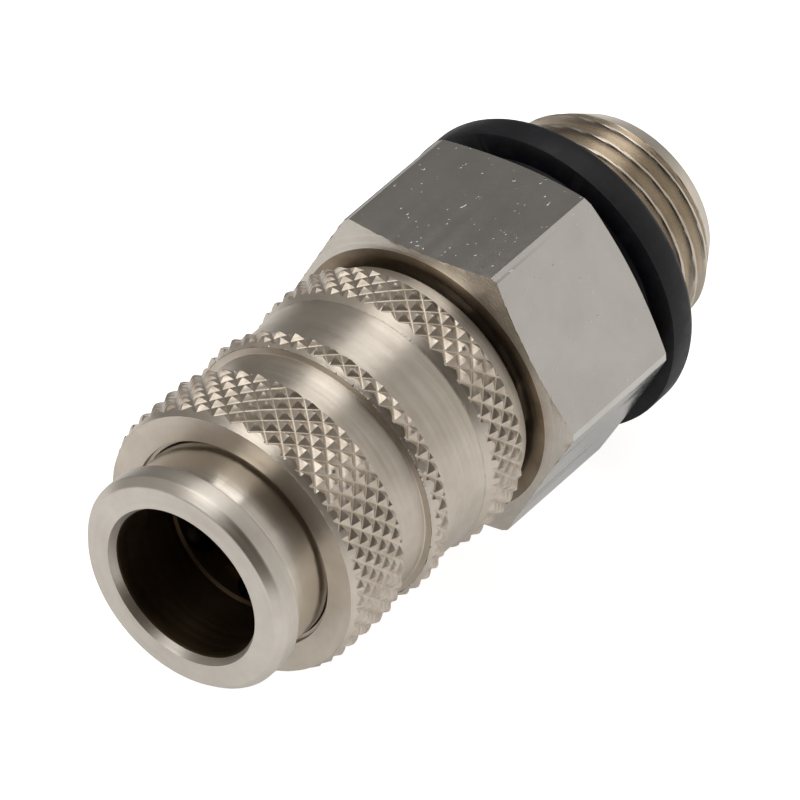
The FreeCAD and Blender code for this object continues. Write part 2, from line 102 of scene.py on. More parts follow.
# Adapter
FLAT_STEPS = 45
CORNER_STEPS = 5
HEX_FRONT = 26.05
HEX_BACK = 37.6
HEX_FLAT = 10.5
HEX_CORNER = 11.97
HEX_FRONT_FACE = 10.0
HEX_BACK_FACE = 10.2
HEX_FRONT_SLOPE = 0.268
HEX_BACK_SLOPE = 0.364
HEX_EDGE = 0.05
BURR_OUT = 0.08
BURR_FORWARD = 0.1
SOCKET = 7.47
SOCKET_END = 34.0
PASSAGE = 5.2
PASSAGE_CHAMFER = 0.4
NECK = 8.0
THREAD = 8.33
THREAD_PITCH = 1.337
THREAD_DEPTH = 0.856
THREAD_FLAT = 0.1
THREAD_RUN_IN = 0.8
THREAD_ROWS = 150
# A groove's middle passes this place at this angle
GROOVE_PLACE = 45.3
GROOVE_ANGLE = math.radians(52)
THREAD_START = 41.2
THREAD_END = 49.1
THREAD_CHAMFER_DEPTH = 1.47
THREAD_CHAMFER_LENGTH = 2.5

# Washer
WASHER_STEPS = 360
WASHER_BORE = 8.04
WASHER_MOUTH = 8.43
WASHER_HUB = 9.5
WASHER_FRONT = 38.75
WASHER_BACK = 41.2
WASHER = 11.35

# Diamond knurl: crossing grooves, three fewer of them one way than the other
RIGHT_GROOVES = 45
LEFT_GROOVES = 42
DIAMOND_LENGTH = 1.4
# Places of the lattice lines between one groove and the next: close together in the round groove
LATTICE = np.array([0, 0.04, 0.09, 0.18, 0.33, 0.5, 0.67, 0.82, 0.91, 0.96])
GROOVE_ROUND = 0.08
# Height of the blunt tips, as a share of the full groove depth, and how far it varies
BLUNT_TIP = 0.78
BLUNT_SPREAD = 0.12
# Radii at which the bands' back edges meet the turned steps
KNURL_1_EDGE = KNURL_ROOT - 0.04
KNURL_EDGE = KNURL_ROOT - 0.03
KNURL_2_CONE = 9.6
KNURL_3_CONE = 9.55
# Knurled bands: name, start and end, a place where two grooves cross, the turn in degrees, and the
# turned outline that trims the diamonds, as places and radii
KNURLED_BANDS = (
    ("knurl_1_skin", SLEEVE_FRONT, KNURL_1_END, 5.62, -6.62, (
        (SLEEVE_FRONT, SLEEVE_FACE), (5.8, 9.83), (6.35, KNURL_TIP),
        (KNURL_1_END - 0.16, KNURL_TIP), (KNURL_1_END, KNURL_1_EDGE))),
    ("knurl_2_skin", KNURL_2_START, KNURL_2_END, 14.66, -3.0, (
        (KNURL_2_START, KNURL_2_CONE), (14.3, 9.8), (14.8, KNURL_TIP),
        (KNURL_2_END - 0.14, KNURL_TIP), (KNURL_2_END, KNURL_EDGE))),
    ("knurl_3_skin", KNURL_3_START, KNURL_3_END, 20.24, -3.7, (
        (KNURL_3_START, KNURL_3_CONE), (20.58, 9.81), (21.1, KNURL_TIP),
        (KNURL_3_END - 0.2, KNURL_TIP), (KNURL_3_END, KNURL_EDGE))),
)


def node_input(node, name, value):
    node.inputs[name].default_value = value


def new_material(name):
    """Empty material with a Principled shader, its node tree and the shader."""
    material = bpy.data.materials.new(name)
    material.use_nodes = True
    tree = material.node_tree
    return material, tree, tree.nodes["Principled BSDF"]


def math_node(tree, operation, first, second=None):
    node = tree.nodes.new("ShaderNodeMath")
    node.operation = operation
    for socket, source in zip(node.inputs, (first, second)):
        if source is None:
            continue
        if isinstance(source, (int, float)):
            socket.default_value = source
        else:
            tree.links.new(source, socket)
    return node.outputs[0]


def map_range(tree, source, low, high, to_low, to_high, smooth=False):
    node = tree.nodes.new("ShaderNodeMapRange")
    if smooth:
        node.interpolation_type = "SMOOTHSTEP"
    tree.links.new(source, node.inputs["Value"])
    node_input(node, "From Min", low)
    node_input(node, "From Max", high)
    node_input(node, "To Min", to_low)
    node_input(node, "To Max", to_high)
    return node.outputs["Result"]


def mix_colour(tree, factor, first, second):
    node = tree.nodes.new("ShaderNodeMix")
    node.data_type = "RGBA"
    tree.links.new(factor, node.inputs["Factor"])
    for name, source in (("A", first), ("B", second)):
        socket = [item for item in node.inputs if item.name == name and item.type == "RGBA"][0]
        if isinstance(source, tuple):
            socket.default_value = (*source, 1.0)
        else:
            tree.links.new(source, socket)
    return [item for item in node.outputs if item.type == "RGBA"][0]


def turned_coordinates(tree, round_scale, across_scale):
    """Coordinates that run slowly round the axis and fast across it, on tubes and faces alike."""
    place = tree.nodes.new("ShaderNodeTexCoord").outputs["Object"]
    split = tree.nodes.new("ShaderNodeSeparateXYZ")
    tree.links.new(place, split.inputs[0])
    x, y, z = split.outputs
    square = math_node(tree, "ADD", math_node(tree, "MULTIPLY", x, x),
                       math_node(tree, "MULTIPLY", z, z))
    radius = math_node(tree, "SQRT", square)
    across = math_node(tree, "ADD", y, math_node(tree, "MULTIPLY", radius, 1.37))
    combined = tree.nodes.new("ShaderNodeCombineXYZ")
    tree.links.new(math_node(tree, "MULTIPLY", x, round_scale), combined.inputs[0])
    tree.links.new(math_node(tree, "MULTIPLY", across, across_scale), combined.inputs[1])
    tree.links.new(math_node(tree, "MULTIPLY", z, round_scale), combined.inputs[2])
    return combined.outputs[0]


def noise_value(tree, vector, scale, detail=2.0, roughness=0.5):
    node = tree.nodes.new("ShaderNodeTexNoise")
    if vector is None:
        vector = tree.nodes.new("ShaderNodeTexCoord").outputs["Object"]
    tree.links.new(vector, node.inputs["Vector"])
    node_input(node, "Scale", scale)
    node_input(node, "Detail", detail)
    node_input(node, "Roughness", roughness)
    return node.outputs["Fac"]


def bump(tree, height, distance, under=None):
    node = tree.nodes.new("ShaderNodeBump")
    node_input(node, "Strength", 1.0)
    node_input(node, "Distance", distance)
    tree.links.new(height, node.inputs["Height"])
    if under is not None:
        tree.links.new(under, node.inputs["Normal"])
    return node.outputs["Normal"]


def turned_metal(name, colour, deep_colour, roughness, marks, anisotropy):
    """Plated metal from the lathe: rings of tool marks, streaks in the gloss, faint stains."""
    material, tree, shader = new_material(name)
    node_input(shader, "Metallic", 1.0)
    node_input(shader, "Anisotropic", anisotropy)
    node_input(shader, "Anisotropic Rotation", 0.25)
    tangent = tree.nodes.new("ShaderNodeTangent")
    tangent.direction_type = "RADIAL"
    tangent.axis = "Y"
    tree.links.new(tangent.outputs[0], shader.inputs["Tangent"])
    fine = noise_value(tree, turned_coordinates(tree, 160, 16000), 1.0, 3.0, 0.6)
    broad = noise_value(tree, turned_coordinates(tree, 90, 2600), 1.0, 2.0)
    stain = noise_value(tree, None, 420, 4.0, 0.6)
    tree.links.new(mix_colour(tree, map_range(tree, stain, 0.35, 0.7, 0, 1), colour, deep_colour),
                   shader.inputs["Base Color"])
    streak = math_node(tree, "ADD", math_node(tree, "MULTIPLY", fine, 0.5),
                       math_node(tree, "MULTIPLY", broad, 0.5))
    tree.links.new(map_range(tree, streak, 0.3, 0.7, roughness * 0.75, roughness * 1.3),
                   shader.inputs["Roughness"])
    height = bump(tree, fine, marks)
    height = bump(tree, broad, marks * 2.5, height)
    tree.links.new(height, shader.inputs["Normal"])
    return material


def knurled_metal(name, colour, stain_colour):
    """Plated metal with rolled diamonds: patches of stain, small dents."""
    material, tree, shader = new_material(name)
    node_input(shader, "Metallic", 1.0)
    stain = noise_value(tree, None, 1100, 4.0, 0.6)
    tree.links.new(mix_colour(tree, map_range(tree, stain, 0.4, 0.75, 0, 1), colour, stain_colour),
                   shader.inputs["Base Color"])
    tree.links.new(map_range(tree, stain, 0.3, 0.7, 0.28, 0.44), shader.inputs["Roughness"])
    dents = noise_value(tree, None, 3600, 3.0, 0.6)
    tree.links.new(bump(tree, dents, 0.00001), shader.inputs["Normal"])
    return material


def milled_metal(name, colour, deep_colour):
    """Plated hexagon flats: nearly a mirror, with a fine grain, pits and small nicks."""
    material, tree, shader = new_material(name)
    node_input(shader, "Metallic", 1.0)
    cloud = noise_value(tree, None, 260, 4.0, 0.6)
    tree.links.new(mix_colour(tree, map_range(tree, cloud, 0.35, 0.7, 0, 1), colour, deep_colour),
                   shader.inputs["Base Color"])
    fine = noise_value(tree, None, 2600, 3.0, 0.6)
    tree.links.new(map_range(tree, fine, 0.3, 0.7, 0.14, 0.19), shader.inputs["Roughness"])
    specks = map_range(tree, noise_value(tree, None, 2300, 1.0), 0.73, 0.775, 0, 1)
    pits = map_range(tree, noise_value(tree, None, 1500, 2.0), 0.70, 0.75, 0, 1)
    height = bump(tree, fine, 0.0000012)
    height = bump(tree, specks, 0.000012, height)
    height = bump(tree, pits, 0.00001, height)
    tree.links.new(height, shader.inputs["Normal"])
    return material


def rubber(name, colour, worn_and_sheen_colour):
    """Black moulded seal: matt, with a faint grain, paler spots that are partly rubbed wear and
    partly painted sheen, and a bluish tint that is painted sheen.
    """
    material, tree, shader = new_material(name)
    node_input(shader, "Specular IOR Level", 0.4)
    cloud = noise_value(tree, None, 700, 5.0, 0.65)
    tree.links.new(mix_colour(tree, map_range(tree, cloud, 0.55, 0.8, 0, 1), colour, worn_and_sheen_colour),
                   shader.inputs["Base Color"])
    tree.links.new(map_range(tree, cloud, 0.3, 0.7, 0.42, 0.6), shader.inputs["Roughness"])
    grain = noise_value(tree, None, 5000, 3.0, 0.6)
    tree.links.new(bump(tree, grain, 0.000006), shader.inputs["Normal"])
    return material


def plain_metal(name, colour, deep_colour, roughness):
    """Ground or drawn metal of the inner pieces, with a soft stain and fine grain."""
    material, tree, shader = new_material(name)
    node_input(shader, "Metallic", 1.0)
    cloud = noise_value(tree, None, 600, 4.0, 0.6)
    tree.links.new(mix_colour(tree, map_range(tree, cloud, 0.35, 0.7, 0, 1), colour, deep_colour),
                   shader.inputs["Base Color"])
    tree.links.new(map_range(tree, cloud, 0.3, 0.7, roughness * 0.8, roughness * 1.25),
                   shader.inputs["Roughness"])
    return material


sleeve_metal = turned_metal("nickel_turned", (0.70, 0.64, 0.565), (0.61, 0.55, 0.475),
                            roughness=0.38, marks=0.000005, anisotropy=0.75)
nose_metal = turned_metal("nickel_nose", (0.73, 0.685, 0.625), (0.66, 0.61, 0.55),
                          roughness=0.4, marks=0.0000025, anisotropy=0.6)
tube_metal = turned_metal("nickel_tube", (0.73, 0.68, 0.61), (0.67, 0.62, 0.55),
                          roughness=0.2, marks=0.0000026, anisotropy=0.6)
cone_metal = turned_metal("nickel_cone", (0.68, 0.64, 0.585), (0.6, 0.555, 0.5),
                          roughness=0.28, marks=0.000003, anisotropy=0.5)
thread_metal = turned_metal("nickel_thread", (0.68, 0.61, 0.52), (0.58, 0.51, 0.42),
                            roughness=0.26, marks=0.000002, anisotropy=0.3)
knurl_metal = knurled_metal("nickel_knurled", (0.66, 0.59, 0.51), (0.5, 0.43, 0.35))
# Painted shade and painted reflection: the hexagon's flat front ring gets a dark brown base colour
# for the sleeve's shadow and dark reflection on it
ring_painted_shade = turned_metal("nickel_ring_painted_shade", (0.34, 0.28, 0.215), (0.24, 0.19, 0.14),
                          roughness=0.34, marks=0.000003, anisotropy=0.5)
hex_metal = milled_metal("nickel_milled", (0.65, 0.63, 0.605), (0.59, 0.57, 0.545))
# Painted shade: the bore's brass gets a very dark brown base colour for the unlit inside of the
# bore
bore_painted_shade = turned_metal("brass_bore_painted_shade", (0.12, 0.085, 0.05), (0.08, 0.055, 0.032),
                          roughness=0.5, marks=0.000002, anisotropy=0.3)
# The seals' bluish tint is painted sheen; the paler spots are partly rubbed wear and partly painted
# sheen
seal_rubber = rubber("seal_rubber", (0.005, 0.005, 0.009), (0.016, 0.015, 0.026))
inner_brass = plain_metal("inner_brass", (0.45, 0.32, 0.17), (0.34, 0.24, 0.12), 0.35)
spring_wire = plain_metal("spring_wire", (0.52, 0.51, 0.5), (0.4, 0.39, 0.38), 0.28)
# Painted shade: the steel balls get a dark base colour so they stay dim inside the bore
ball_painted_shade = plain_metal("ball_painted_shade", (0.1, 0.085, 0.07), (0.07, 0.06, 0.045), 0.45)


class Skin:
    """Rings of points round the axis, and the four-sided faces between them."""

    def __init__(self, angles):
        self.angles = np.asarray(angles)
        self.count = len(self.angles)
        self.points = []
        self.faces = []
        self.finishes = []

    def ring(self, radius, place):
        """Adds a ring and returns the number of its first point."""
        radius = np.broadcast_to(np.asarray(radius, float), self.count)
        place = np.broadcast_to(np.asarray(place, float), self.count)
        spots = (radius * np.cos(self.angles), place, radius * np.sin(self.angles))
        self.points.append(np.stack(spots, 1))
        return (len(self.points) - 1) * self.count

    def join(self, first, second, finish=0):
        for here in range(self.count):
            following = (here + 1) % self.count
            self.add((first + here, first + following, second + following, second + here), finish)

    def add(self, face, finish):
        self.faces.append(face)
        self.finishes.append(finish)

    def turn(self, profile, finish=0, first=None):
        """Joins a row of rings, each given as radius and place, and returns the last."""
        last = first
        for radius, place in profile:
            new = self.ring(radius, place)
            if last is not None:
                self.join(last, new, finish)
            last = new
        return last


def softened(profile, size, steps=3):
    """Rounds an open profile's corners; each point is radius, place and an optional own size."""
    result = [profile[0][:2]]
    for index in range(1, len(profile) - 1):
        before, corner, after = (Vector(profile[index + shift][:2]) for shift in (-1, 0, 1))
        own = profile[index][2] if len(profile[index]) > 2 else size
        reach = min(own, (before - corner).length * 0.45, (after - corner).length * 0.45)
        start = corner + (before - corner).normalized() * reach
        end = corner + (after - corner).normalized() * reach
        for step in range(steps + 1):
            part = step / steps
            spot = start * (1 - part) ** 2 + corner * 2 * part * (1 - part) + end * part**2
            result.append((spot.x, spot.y))
    result.append(profile[-1][:2])
    return result


def placed_piece(name, mesh, materials, body, replaced, sharp):
    """Object of a mesh, with its materials, riding on its body in place of the CAD node."""
    for material in materials:
        mesh.materials.append(material)
    mesh.shade_smooth()
    mesh.set_sharp_from_angle(angle=math.radians(sharp))
    piece = bpy.data.objects.new(name, mesh)
    bpy.context.scene.collection.objects.link(piece)
    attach(piece, body)
    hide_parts(replaced)
    return piece


def finished_piece(name, skin, materials, body, replaced, sharp=32):
    """Piece made from a skin, with a material for each number that its faces carry."""
    mesh = bpy.data.meshes.new(name)
    mesh.from_pydata((np.concatenate(skin.points) * MM).tolist(), [], skin.faces)
    mesh.polygons.foreach_set("material_index", skin.finishes)
    mesh.validate()
    return placed_piece(name, mesh, materials, body, replaced, sharp)


def even_angles(count):
    return np.arange(count) * 2 * math.pi / count


# Sleeve: turned bands, and knurled bands on a lattice that follows the crossing grooves
def flank(part):
    """Height of a groove's side, 0 in its round bottom and 1 midway to the next groove."""
    away = np.minimum(part, 1 - part)
    rise = np.where(away < GROOVE_ROUND, away**2 / (2 * GROOVE_ROUND), away - GROOVE_ROUND / 2)
    return rise / (0.5 - GROOVE_ROUND / 2)


def scattered(first, second):
    """Spread of values from 0 to 1 for pairs of grooves, the same once round the sleeve."""
    turns = first // RIGHT_GROOVES
    first = first - turns * RIGHT_GROOVES
    second = second - turns * LEFT_GROOVES
    mixed = np.sin(first * 12.9898 + second * 78.233) * 43758.5453
    return mixed - np.floor(mixed)


def trimmed(points, faces, above):
    """Splits triangles where the height above the outline is nought.

    Returns the points, the faces, and for each face 0 under the outline and 1 above it."""
    over = above > 0
    kinds = over[faces].sum(axis=1)
    split = (kinds == 1) | (kinds == 2)
    mixed = faces[split]
    flags = over[mixed]
    odd = np.where(kinds[split] == 1, flags.argmax(axis=1), flags.argmin(axis=1))
    rows = np.arange(len(mixed))
    alone, second, third = (mixed[rows, (odd + shift) % 3] for shift in range(3))
    pairs = np.concatenate([np.stack([alone, second], 1), np.stack([alone, third], 1)])
    pairs, numbers = np.unique(np.sort(pairs, axis=1), axis=0, return_inverse=True)
    numbers = numbers.ravel() + len(points)
    part = (above[pairs[:, 0]] / (above[pairs[:, 0]] - above[pairs[:, 1]]))[:, None]
    crossings = points[pairs[:, 0]] * (1 - part) + points[pairs[:, 1]] * part
    one, two = numbers[:len(mixed)], numbers[len(mixed):]
    result = faces[~split].tolist() + np.stack([alone, one, two], 1).tolist()
    result += np.stack([one, second, third, two], 1).tolist()
    trims = np.concatenate([kinds[~split] == 3, over[alone], ~over[alone]]).astype(int)
    return np.concatenate([points, crossings]), result, trims


def knurl_lattice(start, end, crossing, turned):
    """Points and triangles that follow the crossing grooves, from before start to past end.

    Returns the angle, the place and the radius of each point, and the triangles."""
    count = len(LATTICE)
    around = RIGHT_GROOVES * count
    grooves = RIGHT_GROOVES + LEFT_GROOVES
    rows = (end - start) / DIAMOND_LENGTH * grooves / RIGHT_GROOVES
    width = math.ceil((rows + 4) * count)
    columns = np.arange(around + 1)
    lowest = columns * LEFT_GROOVES // RIGHT_GROOVES - math.ceil((rows + 2) * count)
    one = np.repeat(columns[:-1], width)
    two = np.repeat(lowest[:-1], width) + np.tile(np.arange(width), around)
    first = one // count + LATTICE[one % count]
    second = two // count + LATTICE[two % count]
    turn = (first + second) / grooves * 2 * math.pi + math.radians(turned)
    along = (first * LEFT_GROOVES - second * RIGHT_GROOVES) / grooves
    place = crossing + along * DIAMOND_LENGTH
    height = np.minimum(flank(LATTICE[one % count]), flank(LATTICE[two % count]))
    tips = BLUNT_TIP + BLUNT_SPREAD * scattered(one // count, two // count)
    radius = KNURL_ROOT + (KNURL_TIP - KNURL_ROOT) * np.minimum(height, tips)

    column = np.repeat(np.arange(around), width - 3)
    row = np.tile(np.arange(1, width - 2), around)
    step = (lowest[1:] - lowest[:-1])[column]
    corner = column * width + row
    right = (column + 1) % around * width + row - step
    left = corner + 1
    far = right + 1
    # Triangles meet along the diamonds' edges
    flipped = (one[corner] % count + two[corner] % count + 1 == count)[:, None]
    halves = (
        ((corner, right, left), (corner, right, far)),
        ((right, far, left), (corner, far, left)),
    )
    faces = np.concatenate([np.where(flipped, np.stack(turned_over, 1), np.stack(usual, 1))
                            for turned_over, usual in halves])
    spots = place[faces]
    inside = (spots.max(axis=1) > start) & (spots.min(axis=1) < end)
    return turn, place, radius, faces[inside]


def knurled_band(name, start, end, crossing, turned, outline):
    """Band of diamonds between two places, trimmed by the turned outline."""
    turn, place, radius, faces = knurl_lattice(start, end, crossing, turned)
    limit = np.interp(place, *zip(*outline))
    points = np.stack([radius * np.cos(turn), place, radius * np.sin(turn)], 1)
    points, faces, trims = trimmed(points, faces, radius - limit)
    low = np.minimum(radius, limit)
    points[:len(low)] = np.stack([low * np.cos(turn), place, low * np.sin(turn)], 1)
    mesh = bpy.data.meshes.new(name)
    mesh.from_pydata((points * MM).tolist(), [], faces)
    mesh.polygons.foreach_set("material_index", trims)
    work = bmesh.new()
    work.from_mesh(mesh)
    for spot, side in ((start, -1), (end, 1)):
        everything = work.verts[:] + work.edges[:] + work.faces[:]
        bmesh.ops.bisect_plane(work, geom=everything, plane_co=(0, spot * MM, 0),
                               plane_no=(0, side, 0), clear_outer=True)
    loose = [vertex for vertex in work.verts if not vertex.link_faces]
    bmesh.ops.delete(work, geom=loose, context="VERTS")
    work.to_mesh(mesh)
    work.free()
    placed_piece(name, mesh, [knurl_metal, sleeve_metal], "sleeve", "sleeve", 25)
    work = bmesh.new()
    work.from_mesh(mesh)
    for edge in work.edges:
        if len({face.material_index for face in edge.link_faces}) == 2:
            edge.smooth = False
    work.to_mesh(mesh)
    work.free()


def feed_marks(start, end, count, depth):
    """Cone between two points in small uneven ridges, as the tool left it."""
    (radius, place), (last_radius, last_place) = start, end
    profile = []
    for step in range(count + 1):
        part = (step + 0.3 * noise.noise(Vector((step * 1.7, 0.4, 2.0)))) / count
        part = min(1, max(0, part))
        ridge = depth * (0.6 + 0.4 * noise.noise(Vector((step * 2.3, 7.1, 0.0)))) * (step % 2 - 0.5)
        profile.append((radius + (last_radius - radius) * part + ridge,
                        place + (last_place - place) * part, 0.01))
    return profile


def make_sleeve():
    for band in KNURLED_BANDS:
        knurled_band(*band)
    skin = Skin(even_angles(SLEEVE_STEPS))
    skin.turn(softened([
        (KNURL_1_EDGE, KNURL_1_END),
        (BAND_1, KNURL_1_END, 0.15),
        (BAND_1, 13.0, 0.5),
        (BAND_1 + 0.14, KNURL_2_START - 0.08, 0.03),
        (BAND_1 + 0.2, KNURL_2_START - 0.03, 0.03),
        (KNURL_2_CONE, KNURL_2_START),
    ], 0.1, 5))
    skin.turn(softened([
        (KNURL_EDGE, KNURL_2_END),
        (BAND_2, KNURL_2_END, 0.06),
        (BAND_2, 19.3, 0.4),
        (BAND_2 + 0.06, KNURL_3_START - 0.02, 0.015),
        (KNURL_3_CONE, KNURL_3_START),
    ], 0.1, 5))
    back_cone = feed_marks((KNURL_ROOT - 0.06, KNURL_3_END + 0.02),
                           (SLEEVE_BACK_RADIUS + 0.16, SLEEVE_BACK - 0.22), 13, 0.06)
    skin.turn(softened([
        (KNURL_EDGE, KNURL_3_END),
        *back_cone,
        (SLEEVE_BACK_RADIUS + 0.13, SLEEVE_BACK - 0.12, 0.05),
        (SLEEVE_BACK_RADIUS + 0.02, SLEEVE_BACK, 0.06),
        (SPRING_ROOM, SLEEVE_BACK, 0.1),
        (SPRING_ROOM, SHOULDER),
        (LAND, SHOULDER),
        (LAND, CAM_BACK),
        (BALL_GROOVE, CAM_FRONT),
        (BALL_GROOVE, BALL_GROOVE_FRONT),
        (LAND, BALL_GROOVE_FRONT),
        (LAND, SLEEVE_FRONT + MOUTH_RING_DEPTH),
        (MOUTH_RING, SLEEVE_FRONT + MOUTH_RING_DEPTH),
        (MOUTH_RING, SLEEVE_FRONT, 0.08),
        (SLEEVE_FACE, SLEEVE_FRONT),
    ], 0.05, 3))
    finished_piece("sleeve_skin", skin, [sleeve_metal], "sleeve", "sleeve", 30)


# Adapter: the hexagon's flats and corners come from one radius that changes round the axis
def hex_angles():
    """Angles of the points round the hexagon: most on the flats, a few on the corners."""
    corner = math.acos(HEX_FLAT / HEX_CORNER)
    flat = np.linspace(-corner, corner, FLAT_STEPS)
    strip = np.linspace(corner, math.pi / 3 - corner, CORNER_STEPS)[1:-1]
    sector = np.concatenate([flat, strip])
    return np.concatenate([sector + math.pi / 2 + index * math.pi / 3 for index in range(6)])


def hex_radius(angles):
    """Distance of the hexagon's side from the axis, flats cut by the round bar's corners."""
    local = np.mod(angles - math.pi / 2 + math.pi / 6, math.pi / 3) - math.pi / 6
    return np.minimum(HEX_CORNER, HEX_FLAT / np.cos(local))


def burr(angles, seed, size):
    """Small ragged rise along an edge, the same on every run."""
    heights = [noise.noise(Vector((math.cos(a) * 90, math.sin(a) * 90, seed))) for a in angles]
    fine = [noise.noise(Vector((math.cos(a) * 260, math.sin(a) * 260, seed + 3))) for a in angles]
    return size * np.clip(np.array(heights) + 0.6 * np.array(fine), 0, 1)


def thread_radius(angles, place):
    """Radius of the threaded end, which runs in from the undercut and ends in a cone."""
    turn = (place - GROOVE_PLACE) / THREAD_PITCH + (angles - GROOVE_ANGLE) / (2 * math.pi)
    away = np.abs(turn - np.round(turn)) * THREAD_PITCH
    rise = np.clip((away - THREAD_FLAT) / (THREAD_PITCH / 2 - 2 * THREAD_FLAT), 0, 1)
    fade = min(1, max(0, (place - THREAD_START) / THREAD_RUN_IN))
    radius = THREAD - THREAD_DEPTH * (1 - fade * (1 - rise))
    past = (place - (THREAD_END - THREAD_CHAMFER_LENGTH)) / THREAD_CHAMFER_LENGTH
    return np.minimum(radius, THREAD - THREAD_CHAMFER_DEPTH * past)


def make_adapter():
    turned, milled, threaded, ring = range(4)
    skin = Skin(hex_angles())
    angles = skin.angles
    out = hex_radius(angles)

    def front(radius):
        return HEX_FRONT + HEX_FRONT_SLOPE * (radius - HEX_FRONT_FACE)

    def back(radius):
        return HEX_BACK - HEX_BACK_SLOPE * (radius - HEX_BACK_FACE)

    first = skin.ring(SOCKET, HEX_FRONT)
    # The flat front ring round the socket takes the darkened finish, painted shade and reflection
    last = skin.turn([
        (HEX_FRONT_FACE - 0.06, HEX_FRONT),
        (HEX_FRONT_FACE, HEX_FRONT + 0.008),
    ], ring, first)
    for part in (0.35, 0.7):
        radius = HEX_FRONT_FACE + (out - HEX_EDGE - HEX_FRONT_FACE) * part
        last = skin.turn([(radius, front(radius))], turned, last)
    ragged_radius = out - HEX_EDGE * 0.3 + burr(angles, 1, BURR_OUT)
    last = skin.turn([
        (out - HEX_EDGE, front(out - HEX_EDGE)),
        (ragged_radius, front(out) - burr(angles, 7, BURR_FORWARD)),
    ], turned, last)
    last = skin.turn([
        (out, front(out) + HEX_EDGE),
        (out, back(out) - HEX_EDGE),
    ], milled, last)
    last = skin.turn([
        (out - HEX_EDGE * 0.3, back(out) - HEX_EDGE * 0.3),
        (out - HEX_EDGE, back(out - HEX_EDGE)),
        (HEX_BACK_FACE, HEX_BACK),
        (NECK, HEX_BACK),
        (NECK, THREAD_START - 0.05),
    ], turned, last)
    for place in np.linspace(THREAD_START, THREAD_END, THREAD_ROWS):
        last = skin.turn([(thread_radius(angles, place), place)], threaded, last)
    last = skin.turn([
        (PASSAGE + PASSAGE_CHAMFER, THREAD_END),
        (PASSAGE, THREAD_END - PASSAGE_CHAMFER),
        (PASSAGE, SOCKET_END),
        (SOCKET, SOCKET_END),
    ], turned, last)
    skin.join(last, first, turned)
    finished_piece("adapter_skin", skin, [cone_metal, hex_metal, thread_metal, ring_painted_shade],
                   "body", "adapter", 20)


def ball_drills():
    """Mesh of columns that stand out from the axis, one through each ball hole."""
    column = Skin(even_angles(DRILL_STEPS))
    ends = [column.ring(BALL_HOLE, place) for place in (DRILL_START, DRILL_END)]
    column.join(*ends)
    for start in ends:
        column.add(tuple(range(start, start + column.count)), 0)
    corners = np.concatenate(column.points)
    points = []
    faces = []
    for number in range(BALL_COUNT):
        turn = Matrix.Rotation(number * 2 * math.pi / BALL_COUNT, 3, "Y")
        shift = len(points)
        for x, y, z in corners:
            spot = turn @ Vector((x, z, y))
            points.append((spot.x * MM, (spot.y + BALL_PLACE) * MM, spot.z * MM))
        faces += [tuple(index + shift for index in face) for face in column.faces]
    mesh = bpy.data.meshes.new("drills")
    mesh.from_pydata(points, [], faces)
    return mesh


def make_barrel():
    nose, inner, tube = range(3)
    sharp = 32
    skin = Skin(even_angles(BARREL_STEPS))
    outside = softened([
        (MOUTH, 0.0),
        (NOSE_FACE, 0.0, 0.1),
        (FLANGE, FLANGE_FRONT, 0.12),
        (FLANGE, FLANGE_BACK, 0.1),
        (TUBE, FLANGE_BACK, 0.1),
        (TUBE, BARREL_END, 0.2),
        (CHAMBER, BARREL_END),
    ], 0.1, 4)
    flange = [spot for spot in outside if spot[1] <= FLANGE_BACK]
    first = skin.ring(*flange[0])
    last = skin.turn(flange[1:], nose, first)
    last = skin.turn(outside[len(flange):], tube, last)
    inside = softened([
        (CHAMBER, BARREL_END),
        (CHAMBER, SEAT + SEAT_WIDTH),
        (BORE + SEAT_WIDTH, SEAT + SEAT_WIDTH),
        (BORE, SEAT),
        (BORE, SEAL_GROOVE_BACK),
        (SEAL_GROOVE, SEAL_GROOVE_BACK),
        (SEAL_GROOVE, SEAL_GROOVE_FRONT),
        (BORE, SEAL_GROOVE_FRONT),
        (BORE, COLLAR_BORE_END + COLLAR_BORE - BORE),
        (COLLAR_BORE, COLLAR_BORE_END),
        (COLLAR_BORE, MOUTH_DEPTH, 0.12),
        (MOUTH, 0.0),
    ], 0.03, 2)
    # The inside of the bore takes the darkened finish, painted shade
    last = skin.turn(inside[1:-1], inner, last)
    skin.join(last, first, nose)
    piece = finished_piece("barrel_skin", skin, [nose_metal, bore_painted_shade, tube_metal],
                           "body", "barrel", sharp)
    drills = bpy.data.objects.new("drills", ball_drills())
    bpy.context.scene.collection.objects.link(drills)
    cut = piece.modifiers.new("ball_holes", "BOOLEAN")
    cut.operation = "DIFFERENCE"
    cut.solver = "EXACT"
    cut.object = drills
    graph = bpy.context.evaluated_depsgraph_get()
    result = bpy.data.meshes.new_from_object(piece.evaluated_get(graph))
    piece.modifiers.clear()
    piece.data = result
    result.shade_smooth()
    result.set_sharp_from_angle(angle=math.radians(sharp))
    bpy.data.objects.remove(drills)


